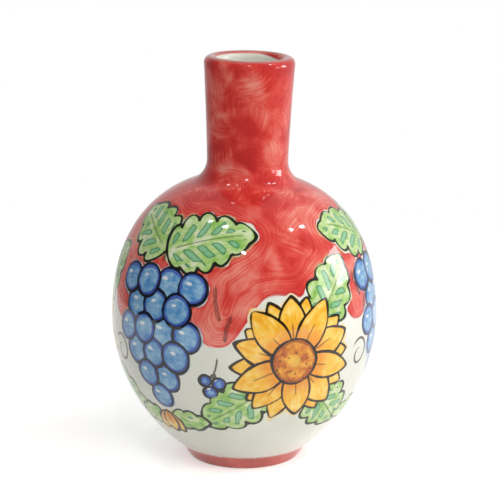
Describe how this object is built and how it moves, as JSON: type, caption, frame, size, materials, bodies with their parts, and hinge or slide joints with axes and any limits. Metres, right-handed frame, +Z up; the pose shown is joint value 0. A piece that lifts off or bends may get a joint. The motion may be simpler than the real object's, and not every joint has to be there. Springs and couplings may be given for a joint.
{
  "type": "oil and vinegar bottle",
  "caption": "Hand-painted glazed earthenware bottle with a globe body on a low foot, a plain neck with a rounded lip and an open mouth, for oil or vinegar.",
  "frame": {"origin": "middle of the foot's ring, on the table that the bottle stands on", "axes": "+Z up along the globe's axis, towards the mouth; +X the way the neck leans; -Y the side that the picture shows"},
  "size_m": [0.1114, 0.1114, 0.1703],
  "materials": {
    "biscuit_earthenware": "matte",
    "white_glaze": "gloss",
    "red_glaze": "gloss"
  },
  "bodies": {
    "root": {"clay_body": "biscuit_earthenware", "liner_glaze": "white_glaze", "neck_glaze": "red_glaze", "globe_glaze": "white_glaze", "foot_glaze": "red_glaze"}
  },
  "joints": []
}
